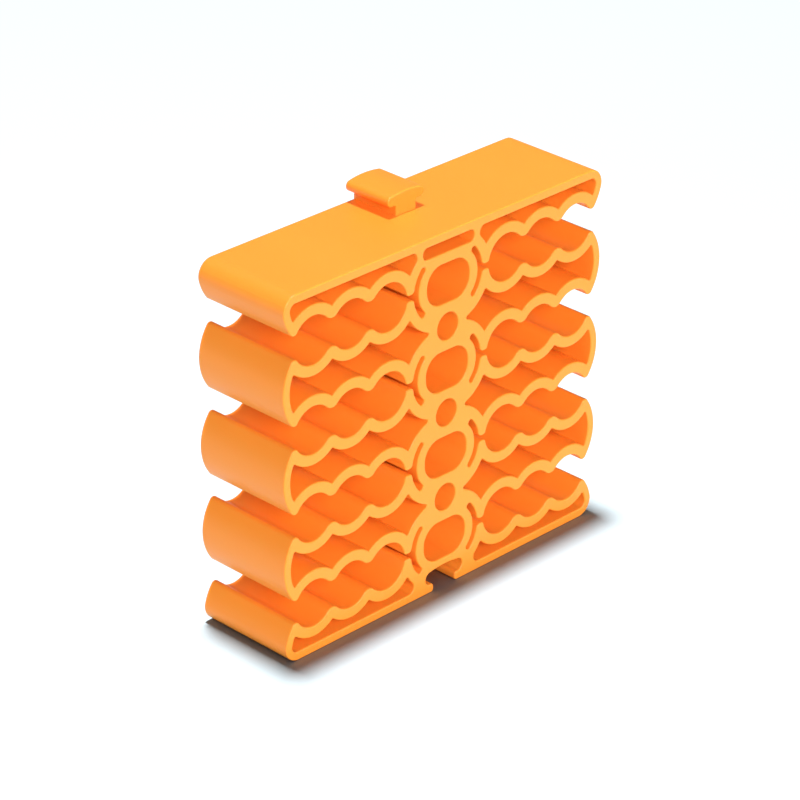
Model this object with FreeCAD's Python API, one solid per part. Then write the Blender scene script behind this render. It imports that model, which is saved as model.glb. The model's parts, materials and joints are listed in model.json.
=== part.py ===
import FreeCAD, Part
import math
import os

# A stackable holder for cables and hoses, moulded in one piece.
# X runs across the block, Y through its depth and Z upwards. The origin is the middle of the underside.
# All lengths are millimetres.

# The whole block
block_depth = 18.6          # length of every slot and hole along Y
row_count = 4               # rows of cable slots, one above the other
row_pitch = 15.0            # height from one row to the next
plate_wall = 1.5            # flat plate on top and underneath
corner_round = 2.7          # outer corners of the two plates
end_bulge = 2.34            # how far the arms reach past the centres of their lips

# A cable slot: three round pockets in a line
lobe_count = 3
lobe_radius = 4.0           # one pocket
lobe_pitch = 7.9            # from pocket to pocket
cusp_round = 1.5            # waves between the pockets
mouth_gap = 3.9             # between the lips at the open end
lip_round = 0.75
slit_gap = 0.9              # between the noses at the closed end
nose_flat = 0.37            # from the front of a nose to its back
nose_back_round = 0.75
tight_round = 0.55          # tightest outer corners: front of a nose, edges of the groove

# Walls of an arm, which is hollow
jaw_wall = 1.9              # wavy walls above and below
end_wall = 1.4
neck_wall = 1.87            # between the hollow and a screw hole
notch_round = 0.3           # inner corners of the hollow
flat_end_round = 1.1        # inner corners beside a flat plate
flange_room = 1.3           # least height of the hollows beside the plates

# The middle column
oval_width = 9.3            # large openings
oval_height = 6.75
oval_side = 0.55            # straight part of their left and right sides
ring_wall = 1.85            # around a large opening
crescent_gap = 1.0          # curved relief slots that free the arms
crescent_reach = 4.2        # above and below the row
screw_hole = 4.6            # clearance for an M4 screw
window_side = 0.18          # flat opening over the top ring: straight part of its left and right sides
window_wall = 1.26          # between it and the hollows beside it

# Coupling: a hook on top fits the groove under the next block
groove_mouth = 4.8
pocket_depth = 1.75         # the groove widens by this much on each side
pocket_round = 1.1
roof_rise = 0.3             # of the domed roof above the pockets
hook_clearance = 0.2
hook_neck_round = 0.3       # where the neck meets the head

# Arms turn on their necks
joint_gap = 0.05            # running clearance around a neck

# Worked out from the values above
half_pitch = row_pitch / 2
half_depth = block_depth / 2        # also the length of the hook, on the back half
arm_count = row_count - 1
rim_round = 0.45 * tight_round      # rims of the front and back faces, under half the tightest corner
hollow_radius = lobe_radius + jaw_wall
outer_row_edge = hollow_radius + flange_room + plate_wall
block_height = arm_count * row_pitch + 2 * outer_row_edge
row_heights = [outer_row_edge + i * row_pitch for i in reversed(range(row_count))]
arm_heights = [height - half_pitch for height in row_heights[:-1]]
groove_roof = plate_wall + 2 * pocket_round + roof_rise
oval_half = oval_height / 2
oval_round = (oval_height - oval_side) / 2
ring_centre = oval_width / 2 - oval_round
ring_radius = oval_round + ring_wall
crescent_radius = ring_radius + crescent_gap
crescent_middle = ring_radius + crescent_gap / 2


def other_side(hypotenuse, side):
    return math.sqrt(hypotenuse ** 2 - side ** 2)


# A nose is rounded at the front, where it meets a pocket, and at the back, where it meets a crescent
nose_rise = slit_gap / 2 + tight_round
back_rise = slit_gap / 2 + nose_back_round
back_place = ring_centre + other_side(crescent_radius + nose_back_round, back_rise)
nose_place = back_place + nose_flat
first_lobe = nose_place + other_side(lobe_radius + tight_round, nose_rise)
lobe_places = [first_lobe + i * lobe_pitch for i in range(lobe_count)]


# Outlines are runs of circles as (x, z, radius). A run goes round each circle in turn, to the left where
# the radius is positive and to the right where it is negative, and crosses on their common tangent.
def crossing(first, second):
    across, up = second[0] - first[0], second[1] - first[1]
    reach = math.hypot(across, up)
    lean = (second[2] - first[2]) / reach
    heading = math.atan2(up, across) - math.asin(max(-1.0, min(1.0, lean)))
    left = (-math.sin(heading), math.cos(heading))
    leave = (first[0] - left[0] * first[2], first[1] - left[1] * first[2])
    arrive = (second[0] - left[0] * second[2], second[1] - left[1] * second[2])
    if math.dist(leave, arrive) < 0.002:
        middle = ((leave[0] + arrive[0]) / 2, (leave[1] + arrive[1]) / 2)
        return middle, middle
    return leave, arrive


def at_front(point):
    return FreeCAD.Vector(point[0], -half_depth, point[1])


def arc_edge(circle, start, end):
    first = math.atan2(start[1] - circle[1], start[0] - circle[0])
    last = math.atan2(end[1] - circle[1], end[0] - circle[0])
    turn = 1 if circle[2] > 0 else -1
    sweep = ((last - first) * turn) % (2 * math.pi)
    halfway = first + turn * sweep / 2
    radius = abs(circle[2])
    middle = (circle[0] + radius * math.cos(halfway), circle[1] + radius * math.sin(halfway))
    return Part.Arc(at_front(start), at_front(middle), at_front(end)).toShape()


def outline_face(circles):
    count = len(circles)
    crossings = [crossing(circles[i], circles[(i + 1) % count]) for i in range(count)]
    edges = []
    for i, circle in enumerate(circles):
        arrive = crossings[i - 1][1]
        leave, meet = crossings[i]
        if math.dist(arrive, leave) > 0.002:
            edges.append(arc_edge(circle, arrive, leave))
        if math.dist(leave, meet) > 0.002:
            edges.append(Part.makeLine(at_front(leave), at_front(meet)))
    return Part.Face(Part.Wire(Part.__sortEdges__(edges)))


def through(face):
    return face.extrude(FreeCAD.Vector(0, block_depth, 0))


def disc(x, z, radius):
    circle = Part.Circle(at_front((x, z)), FreeCAD.Vector(0, -1, 0), radius)
    return through(Part.Face(Part.Wire(circle.toShape())))


def slab(low_x, high_x, low_z, high_z):
    size = (high_x - low_x, block_depth, high_z - low_z)
    return Part.makeBox(*size, FreeCAD.Vector(low_x, -half_depth, low_z))


def mirrored(circles):
    return [(-x, z, radius) for x, z, radius in reversed(circles)]


def flipped(circles, middle):
    return [(x, 2 * middle - z, radius) for x, z, radius in reversed(circles)]


def meeting(first, second):
    """Where two circles meet, on the left of the line from the first to the second."""
    across, up = second[0] - first[0], second[1] - first[1]
    reach = math.hypot(across, up)
    along = (reach ** 2 + first[2] ** 2 - second[2] ** 2) / (2 * reach)
    aside = other_side(first[2], along)
    return first[0] + (across * along - up * aside) / reach, first[1] + (up * along + across * aside) / reach


# The end of an arm is an arc that touches both lips and bulges past them
lip_rise = mouth_gap / 2 + lip_round
lip_place = lobe_places[-1] + other_side(lobe_radius + lip_round, lip_rise)
block_width = 2 * (lip_place + end_bulge)
lip_height = half_pitch - lip_rise
end_radius = (end_bulge ** 2 + lip_height ** 2 - lip_round ** 2) / (2 * end_bulge - 2 * lip_round)
end_centre = block_width / 2 - end_radius
end_inner = end_radius - end_wall

# Both ends of a crescent are round
cap_round = crescent_gap / 2
cap_rise = crescent_reach - cap_round
cap_place = ring_centre + other_side(crescent_middle, cap_rise)
cap_angle = math.asin(cap_rise / crescent_middle)
tip_place = cap_place - cap_round * math.sin(cap_angle)
tip_rise = cap_rise + cap_round * math.cos(cap_angle)

# Two curved bands around the crescents carry an arm, and meet at the tip of its hollow
hollow_tip = screw_hole / 2 + neck_wall
band_radius = math.hypot(hollow_tip + notch_round - ring_centre, half_pitch) - notch_round

# The hollows beside the plates have a flat ceiling; the window lies between two of them
ceiling_rise = outer_row_edge - plate_wall
corner_rise = ceiling_rise - flat_end_round
inner_corner = ring_centre + other_side(band_radius + flat_end_round, corner_rise)
window_width = 2 * (inner_corner - flat_end_round - window_wall)

# An arm turns about a point inside its hollow: the cut through its neck is an arc around that point
neck_middle = screw_hole / 2 + neck_wall / 2
tip_height = half_pitch - tip_rise
neck_run = tip_place - neck_middle
pivot_place = tip_place + (tip_height ** 2 - neck_run ** 2) / (2 * neck_run)
neck_radius = pivot_place - neck_middle

# Notches of the hollows, measured from the middle of the slot beside them
notch_reach = hollow_radius + notch_round
band_circle = (ring_centre, 0.0, band_radius + notch_round)
inner_notch, inner_notch_rise = meeting(band_circle, (first_lobe, 0.0, notch_reach))
notch_rise = other_side(notch_reach, lobe_pitch / 2)
end_circle = (end_centre, half_pitch, end_inner - notch_round)
outer_notch, outer_notch_rise = meeting(end_circle, (lobe_places[-1], 0.0, notch_reach))

# The column is shared out halfway between the screw holes and the ovals, and past the outer ovals
# halfway to the groove
ring_reach = (oval_half + half_pitch - screw_hole / 2) / 2
outer_reach = (oval_half + outer_row_edge - groove_roof) / 2


def jaw_run(z):
    """The upper side of a slot, from its lip in to the crescent."""
    cusp_rise = other_side(lobe_radius + cusp_round, lobe_pitch / 2)
    run = [(lip_place, z + lip_rise, -lip_round)]
    for place in reversed(lobe_places):
        run.append((place, z, lobe_radius))
        if place > first_lobe:
            run.append((place - lobe_pitch / 2, z + cusp_rise, -cusp_round))
    run.append((nose_place, z + nose_rise, -tight_round))
    run.append((back_place, z + back_rise, -nose_back_round))
    run.append((ring_centre, z, crescent_radius))
    run.append((cap_place, z + cap_rise, cap_round))
    return run


def slot_run(z):
    upper = jaw_run(z)
    return upper + [(ring_centre, z, -ring_radius)] + flipped(upper, z)


def groove_shape():
    """Place and height of a pocket's round side, and the radius of the domed roof that touches it."""
    pocket = groove_mouth / 2 + pocket_depth - pocket_round
    pocket_rise = plate_wall + pocket_round
    drop = pocket_round + roof_rise
    dome = (pocket ** 2 + drop ** 2 - pocket_round ** 2) / (2 * roof_rise)
    return pocket, pocket_rise, dome


def groove_run():
    """The groove under the block, from right to left."""
    half_mouth = groove_mouth / 2
    pocket, pocket_rise, dome = groove_shape()
    half = [(half_mouth + tight_round, tight_round, -tight_round),
            (half_mouth + tight_round, plate_wall - tight_round, -tight_round),
            (pocket, pocket_rise, pocket_round)]
    return half + [(0.0, groove_roof - dome, dome)] + mirrored(half)


def block_outline():
    """Clockwise, so solid material lies on the right."""
    flat_rise = outer_row_edge - half_pitch
    corner_place = end_centre + other_side(end_radius - corner_round, flat_rise - corner_round)
    side = [(corner_place, block_height - corner_round, -corner_round)]
    for index, height in enumerate(row_heights):
        side.append((end_centre, height + half_pitch, -end_radius))
        side.extend(slot_run(height))
    side.append((end_centre, row_heights[-1] - half_pitch, -end_radius))
    side.append((corner_place, corner_round, -corner_round))
    return side + groove_run() + mirrored(side)


def hollow_half(z):
    """The lower side of the hollow above the slot at z, from the column out to the end wall."""
    run = [(ring_centre, z, -band_radius), (inner_notch, z + inner_notch_rise, notch_round)]
    for place in lobe_places[:-1]:
        run.append((place, z, -hollow_radius))
        run.append((place + lobe_pitch / 2, z + notch_rise, notch_round))
    run.append((lobe_places[-1], z, -hollow_radius))
    run.append((outer_notch, z + outer_notch_rise, notch_round))
    return run


def hollow_outline(z):
    """The hollow of the arm at z, anticlockwise from its tip."""
    tip = (hollow_tip + notch_round, z, notch_round)
    lower = hollow_half(z - half_pitch)
    return [tip] + lower + [(end_centre, z, end_inner)] + flipped(lower, z)


def flange_hollow(z):
    """The hollow between the slot at z and the flat plate above it."""
    outer_corner = end_centre + other_side(end_inner - flat_end_round, corner_rise - half_pitch)
    run = hollow_half(z) + [(end_centre, z + half_pitch, end_inner)]
    run.append((outer_corner, z + corner_rise, flat_end_round))
    run.append((inner_corner, z + corner_rise, flat_end_round))
    return run


def rounded_hole(width, low, high, straight):
    corner = (high - low - straight) / 2
    side = width / 2 - corner
    return [(side, low + corner, corner), (side, high - corner, corner),
            (-side, high - corner, corner), (-side, low + corner, corner)]


def hollows():
    top_row, bottom_row = row_heights[0], row_heights[-1]
    right = [hollow_outline(height) for height in arm_heights]
    right.append(flange_hollow(top_row))
    right.append(flipped(flange_hollow(bottom_row), bottom_row))
    return right + [mirrored(run) for run in right]


def middle_holes():
    holes = [rounded_hole(oval_width, z - oval_half, z + oval_half, oval_side) for z in row_heights]
    top_row = row_heights[0]
    window_floor = top_row + oval_half + ring_wall
    holes.append(rounded_hole(window_width, window_floor, top_row + ceiling_rise, window_side))
    return [outline_face(run) for run in holes]


def hook_run():
    """The coupling hook on the top plate, clockwise, an even clearance inside the groove."""
    neck = groove_mouth / 2 - hook_clearance
    pocket, pocket_rise, dome = groove_shape()
    head_round = pocket_round - hook_clearance
    under = pocket_rise - head_round
    half = [(pocket, block_height + pocket_rise, -head_round),
            (neck + hook_neck_round, block_height + under - hook_neck_round, hook_neck_round),
            (neck, block_height, 0.0)]
    top = (0.0, block_height + groove_roof - dome, hook_clearance - dome)
    return [top] + half + mirrored(half)


def rounded(solid):
    """The solid with the rims of its front and back faces rounded, except where it stands on the top plate."""
    box = solid.BoundBox
    rims = []
    for edge in solid.Edges:
        reach = edge.BoundBox
        in_face = min(abs(reach.YMin - box.YMin), abs(reach.YMax - box.YMax)) < 0.001
        standing = reach.ZMax < block_height + 0.001 < box.ZMin + 0.002
        if reach.YLength < 0.001 and in_face and not standing:
            rims.append(edge)
    return solid.makeFillet(rim_round, rims)


def moulding():
    """The whole block without its hook, before it is shared out into its parts."""
    openings = [outline_face(run) for run in hollows()] + middle_holes()
    block = through(outline_face(block_outline()).cut(openings))
    return rounded(block.cut([disc(0, z, screw_hole / 2) for z in arm_heights]))


def coupling_hook():
    hook = outline_face(hook_run())
    hook.translate(FreeCAD.Vector(0, block_depth - half_depth, 0))
    return rounded(hook.extrude(FreeCAD.Vector(0, half_depth, 0)))


def arm_region(z, neck):
    """Everything that turns with the right arm at z: its left edge runs inside both crescents."""
    region = slab(cap_place, block_width, z - half_pitch, z + half_pitch)
    region = region.cut([disc(ring_centre, z + rise, crescent_middle) for rise in (-half_pitch, half_pitch)])
    return region.fuse(disc(pivot_place, z, neck))


def ring_region(z):
    """The ring around the large opening at z, out to the middle of its crescents."""
    low = z - (outer_reach if z == row_heights[-1] else ring_reach)
    high = z + (outer_reach if z == row_heights[0] else ring_reach)
    region = slab(-ring_centre, ring_centre, low, high)
    region = region.fuse([disc(side * ring_centre, z, crescent_middle) for side in (-1, 1)])
    return region.common(slab(-block_width, block_width, low, high))


def save(name, solid):
    if len(solid.Solids) != 1 or not solid.isValid():
        raise ValueError(name + " is not one sound solid")
    solid.Solids[0].exportStep("parts/" + name + ".step")


def other_hand(solid):
    return solid.mirror(FreeCAD.Vector(0, 0, 0), FreeCAD.Vector(1, 0, 0))


def upside_down(solid):
    return solid.mirror(FreeCAD.Vector(0, 0, block_height / 2), FreeCAD.Vector(0, 0, 1))


def save_pair(name, solid):
    """The right-hand piece and its mirror image on the left."""
    save("right_" + name, solid)
    save("left_" + name, other_hand(solid))


def save_arms(block):
    top = arm_heights[0]
    arm = block.common(arm_region(top, neck_radius))
    pieces = {"root": slab(0, inner_notch, 0, block_height),
              "upper_jaw": slab(inner_notch, outer_notch, top, block_height),
              "lower_jaw": slab(inner_notch, outer_notch, 0, top),
              "end": slab(outer_notch, block_width, 0, block_height)}
    for piece, zone in pieces.items():
        solid = arm.common(zone)
        for index in range(arm_count):
            copy = solid.copy()
            copy.translate(FreeCAD.Vector(0, 0, -index * row_pitch))
            save_pair("arm_" + str(index + 1) + "_" + piece, copy)


def save_column(spine):
    """The rings, and the webs that fill all the room between them."""
    rings = [ring_region(height) for height in row_heights]
    for index, ring in enumerate(rings):
        save("ring_" + str(index + 1), spine.common(ring))
    for index, height in enumerate(arm_heights):
        between = slab(-half_pitch, half_pitch, height - half_pitch, height + half_pitch)
        save("screw_web_" + str(index + 1), spine.common(between).cut(rings))


def save_flanges(spine):
    """The flat plates and the fixed jaws beside them, alike on top and underneath."""
    ceiling = block_height - plate_wall
    top_row, bottom_row = row_heights[0], row_heights[-1]
    bridge_reach = (-inner_notch, inner_notch)
    save("top_plate", spine.common(slab(-block_width, block_width, ceiling, block_height)))
    save("top_bridge", spine.common(slab(*bridge_reach, top_row, ceiling)).cut(ring_region(top_row)))
    save("base_bridge", spine.common(slab(*bridge_reach, plate_wall, bottom_row)).cut(ring_region(bottom_row)))
    save_pair("base_plate", spine.common(slab(0, block_width, 0, plate_wall)))
    wave_top = top_row + hollow_radius
    jaw = spine.common(slab(inner_notch, outer_notch, top_row, wave_top))
    end_zone = slab(outer_notch, block_width, top_row, ceiling)
    end = spine.common(end_zone.fuse(slab(lobe_places[-1], block_width, wave_top, ceiling)))
    save_pair("top_jaw", jaw)
    save_pair("top_end", end)
    save_pair("base_jaw", upside_down(jaw))
    save_pair("base_end", upside_down(end))


os.makedirs("parts", exist_ok=True)
block = moulding()
save_arms(block)
turning = [arm_region(z, neck_radius + joint_gap) for z in arm_heights]
spine = block.cut(turning + [other_hand(region) for region in turning])
save_column(spine)
save_flanges(spine)
save("coupling_hook", coupling_hook())
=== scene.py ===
import bmesh
import bpy
import json
import math
from mathutils import Euler, Matrix, Vector


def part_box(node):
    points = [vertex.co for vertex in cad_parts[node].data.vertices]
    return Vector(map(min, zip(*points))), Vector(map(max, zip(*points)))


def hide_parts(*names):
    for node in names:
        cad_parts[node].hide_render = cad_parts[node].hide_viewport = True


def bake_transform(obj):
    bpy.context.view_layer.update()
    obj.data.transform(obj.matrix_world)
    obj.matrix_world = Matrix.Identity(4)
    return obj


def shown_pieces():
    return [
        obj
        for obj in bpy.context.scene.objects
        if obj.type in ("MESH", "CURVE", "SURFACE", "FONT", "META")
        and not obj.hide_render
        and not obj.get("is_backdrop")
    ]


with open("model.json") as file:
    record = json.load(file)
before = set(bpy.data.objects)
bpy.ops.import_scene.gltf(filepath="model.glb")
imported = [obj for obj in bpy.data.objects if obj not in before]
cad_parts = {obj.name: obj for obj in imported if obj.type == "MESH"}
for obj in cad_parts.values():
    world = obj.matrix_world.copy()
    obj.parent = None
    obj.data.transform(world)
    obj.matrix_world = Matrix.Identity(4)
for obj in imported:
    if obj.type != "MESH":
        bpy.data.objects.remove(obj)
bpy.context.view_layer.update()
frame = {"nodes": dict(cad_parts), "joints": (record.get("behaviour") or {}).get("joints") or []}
print("frame loaded:", len(frame["nodes"]), "nodes")

# satin moulded plastic, one colour all through
orangePlastic = {
    "colour": (1.0, 0.3, 0.03),
    "deepColour": (0.99, 0.276, 0.025),    # faint flow streaks and clouding
    "streakSize": 38.0,                     # per metre, stretched along the depth
    "streakStretch": 0.3,
    "roughness": (0.36, 0.47),
    "grainSize": 5200.0,                    # spark-eroded satin texture of the mould
    "grainDepth": 0.000008,
    "rippleSize": 95.0,                     # shallow sink where the walls meet
    "rippleDepth": 0.00004,
    "specular": 0.34,
    "refraction": 1.49,
    "glow": 0.12,                           # light carried under the skin
    "glowReach": 0.0011,
    "glowSpread": (1.0, 0.35, 0.1),         # red travels furthest
}

# the neck of an arm, where it bends between the column and the jaws; here only its cut face is
# moved out to close the gap
armNeck = {
    "gap": 0.00005,                         # running gap the solids leave around a neck
    "touch": 0.000004,                      # how near the cut a point counts as on it
    "bendStart": 0.0053,                    # from the middle of the block
}

floorLook = {
    "size": 4.0,
    "colour": (0.39, 0.465, 0.5),          # mid grey, lit hard, takes up less of the warm bounce
    "roughness": 0.7,
    "specular": 0.2,
}

studio = {
    "worldColour": (1.0, 1.0, 1.0),
    "worldStrength": 0.2,
    # for each softbox: place in metres, width of the disc in metres, power in watts
    "overhead": {"place": (0.005, 0.075, 1.2), "size": 0.115, "power": 12.9},
    "paper": {"place": (0.005, 0.075, 1.2), "size": 0.115, "power": 22.0},
    "front": {"place": (0.35, -1.1, 0.22), "size": 0.8, "power": 8.0},
    "fill": {"place": (-0.62, -0.95, 0.6), "size": 0.5, "power": 13.0},
    "exposure": 0.0,
}

shot = {
    "target": (-0.00077, 0.00019, 0.03019),
    "distance": 0.55466,
    "azimuth": 45.559,
    "elevation": 27.316,
    "roll": 0.523,
    "lens": 158.56,                         # millimetres, on a sensor this wide
    "sensor": 36.0,
}


def addNode(tree, kind, **settings):
    node = tree.nodes.new(kind)
    for name, value in settings.items():
        setattr(node, name, value)
    return node


def makePlastic(name, look):
    material = bpy.data.materials.new(name)
    material.use_nodes = True
    tree = material.node_tree
    link = tree.links.new
    skin = tree.nodes["Principled BSDF"]
    place = addNode(tree, "ShaderNodeTexCoord")

    stretched = addNode(tree, "ShaderNodeMapping")
    stretched.inputs["Scale"].default_value = (1.0, look["streakStretch"], 1.0)
    link(place.outputs["Object"], stretched.inputs["Vector"])
    streaks = addNode(tree, "ShaderNodeTexNoise")
    streaks.inputs["Scale"].default_value = look["streakSize"]
    streaks.inputs["Detail"].default_value = 4.0
    streaks.inputs["Distortion"].default_value = 0.6
    link(stretched.outputs["Vector"], streaks.inputs["Vector"])

    tint = addNode(tree, "ShaderNodeMix", data_type="RGBA")
    tint.inputs["A"].default_value = (*look["deepColour"], 1.0)
    tint.inputs["B"].default_value = (*look["colour"], 1.0)
    link(streaks.outputs["Fac"], tint.inputs["Factor"])
    link(tint.outputs["Result"], skin.inputs["Base Color"])

    grain = addNode(tree, "ShaderNodeTexNoise")
    grain.inputs["Scale"].default_value = look["grainSize"]
    grain.inputs["Detail"].default_value = 2.0
    link(place.outputs["Object"], grain.inputs["Vector"])
    ripple = addNode(tree, "ShaderNodeTexNoise")
    ripple.inputs["Scale"].default_value = look["rippleSize"]
    ripple.inputs["Detail"].default_value = 1.0
    link(place.outputs["Object"], ripple.inputs["Vector"])

    shine = addNode(tree, "ShaderNodeMapRange")
    shine.inputs["From Min"].default_value = 0.3
    shine.inputs["From Max"].default_value = 0.7
    shine.inputs["To Min"].default_value = look["roughness"][0]
    shine.inputs["To Max"].default_value = look["roughness"][1]
    link(streaks.outputs["Fac"], shine.inputs["Value"])
    link(shine.outputs["Result"], skin.inputs["Roughness"])

    broadBump = addNode(tree, "ShaderNodeBump")
    broadBump.inputs["Distance"].default_value = look["rippleDepth"]
    link(ripple.outputs["Fac"], broadBump.inputs["Height"])
    fineBump = addNode(tree, "ShaderNodeBump")
    fineBump.inputs["Distance"].default_value = look["grainDepth"]
    link(grain.outputs["Fac"], fineBump.inputs["Height"])
    link(broadBump.outputs["Normal"], fineBump.inputs["Normal"])
    link(fineBump.outputs["Normal"], skin.inputs["Normal"])

    skin.inputs["Specular IOR Level"].default_value = look["specular"]
    skin.inputs["IOR"].default_value = look["refraction"]
    skin.inputs["Subsurface Weight"].default_value = look["glow"]
    skin.inputs["Subsurface Scale"].default_value = look["glowReach"]
    skin.inputs["Subsurface Radius"].default_value = look["glowSpread"]
    return material


plastic = makePlastic("orangePlastic", orangePlastic)
for node in frame["nodes"].values():
    node.data.materials.clear()
    node.data.materials.append(plastic)
print("plastic on every node")


def makeNeck(joint):
    body = joint["child"]
    rootName = body + "_root"
    root = frame["nodes"][rootName]
    neck = bpy.data.objects.new(body + "_neck", root.data.copy())
    bpy.context.scene.collection.objects.link(neck)
    pivot = Vector(joint["pos_m"])
    side = math.copysign(1.0, pivot.x)
    low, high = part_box(rootName)
    inner = low.x if side > 0 else -high.x
    radius = side * pivot.x - inner

    # the cut face moves out to meet the column, so that no gap shows
    shape = bmesh.new()
    shape.from_mesh(neck.data)
    onCut = []
    for vert in shape.verts:
        reach = math.hypot(vert.co.x - pivot.x, vert.co.z - pivot.z)
        if abs(reach - radius) < armNeck["touch"]:
            onCut.append(vert)
    grow = 1.0 + armNeck["gap"] / radius
    bmesh.ops.scale(shape, vec=(grow, 1.0, grow), space=Matrix.Translation(-pivot), verts=onCut)
    shape.to_mesh(neck.data)
    shape.free()

    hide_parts(rootName)
    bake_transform(neck)
    return len(onCut)


for joint in frame["joints"]:
    print("neck of", joint["child"], "closed at", makeNeck(joint), "points")


def makeFloor():
    shape = bmesh.new()
    bmesh.ops.create_grid(shape, x_segments=1, y_segments=1, size=floorLook["size"] / 2)
    mesh = bpy.data.meshes.new("floor")
    shape.to_mesh(mesh)
    shape.free()
    floor = bpy.data.objects.new("floor", mesh)
    bpy.context.scene.collection.objects.link(floor)
    paper = bpy.data.materials.new("paper")
    paper.use_nodes = True
    surface = paper.node_tree.nodes["Principled BSDF"]
    surface.inputs["Base Color"].default_value = (*floorLook["colour"], 1.0)
    surface.inputs["Roughness"].default_value = floorLook["roughness"]
    surface.inputs["Specular IOR Level"].default_value = floorLook["specular"]
    mesh.materials.append(paper)
    floor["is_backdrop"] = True
    return floor


def addSoftbox(name, box, lit=None):
    light = bpy.data.lights.new(name, "AREA")
    light.shape = "DISK"
    light.size = box["size"]
    light.energy = box["power"]
    lamp = bpy.data.objects.new(name, light)
    bpy.context.scene.collection.objects.link(lamp)
    place = Vector(box["place"])
    lamp.location = place
    lamp.rotation_euler = (Vector(shot["target"]) - place).to_track_quat("-Z", "Y").to_euler()
    if lit:
        lamp.light_linking.receiver_collection = lit


def lightStudio(floor):
    scene = bpy.context.scene
    world = bpy.data.worlds.new("studio")
    scene.world = world
    world.use_nodes = True
    backdrop = world.node_tree.nodes["Background"]
    backdrop.inputs["Color"].default_value = (*studio["worldColour"], 1.0)
    backdrop.inputs["Strength"].default_value = studio["worldStrength"]
    # the low softboxes light the block only, so that its shadow on the paper stays close and soft,
    # and one more lamp where the overhead is whitens the paper only
    block = bpy.data.collections.new("block")
    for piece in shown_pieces():
        block.objects.link(piece)
    addSoftbox("overhead", studio["overhead"])
    addSoftbox("front", studio["front"], block)
    addSoftbox("fill", studio["fill"], block)
    paper = bpy.data.collections.new("paper")
    paper.objects.link(floor)
    addSoftbox("paper", studio["paper"], paper)
    scene.view_settings.view_transform = "Standard"
    scene.view_settings.exposure = studio["exposure"]


def placeCamera():
    turn = math.radians(shot["azimuth"])
    tilt = math.radians(shot["elevation"])
    flat = math.cos(tilt)
    ahead = Vector((math.sin(turn) * flat, math.cos(turn) * flat, -math.sin(tilt)))
    camera = bpy.data.cameras.new("camera")
    camera.lens = shot["lens"]
    camera.sensor_width = shot["sensor"]
    camera.clip_start = 0.01
    holder = bpy.data.objects.new("camera", camera)
    bpy.context.scene.collection.objects.link(holder)
    holder.location = Vector(shot["target"]) - ahead * shot["distance"]
    upright = ahead.to_track_quat("-Z", "Y").to_matrix()
    roll = Euler((0.0, 0.0, math.radians(shot["roll"]))).to_matrix()
    holder.rotation_euler = (upright @ roll).to_euler()
    bpy.context.scene.camera = holder


lightStudio(makeFloor())
placeCamera()
print("studio ready")

bpy.context.view_layer.update()
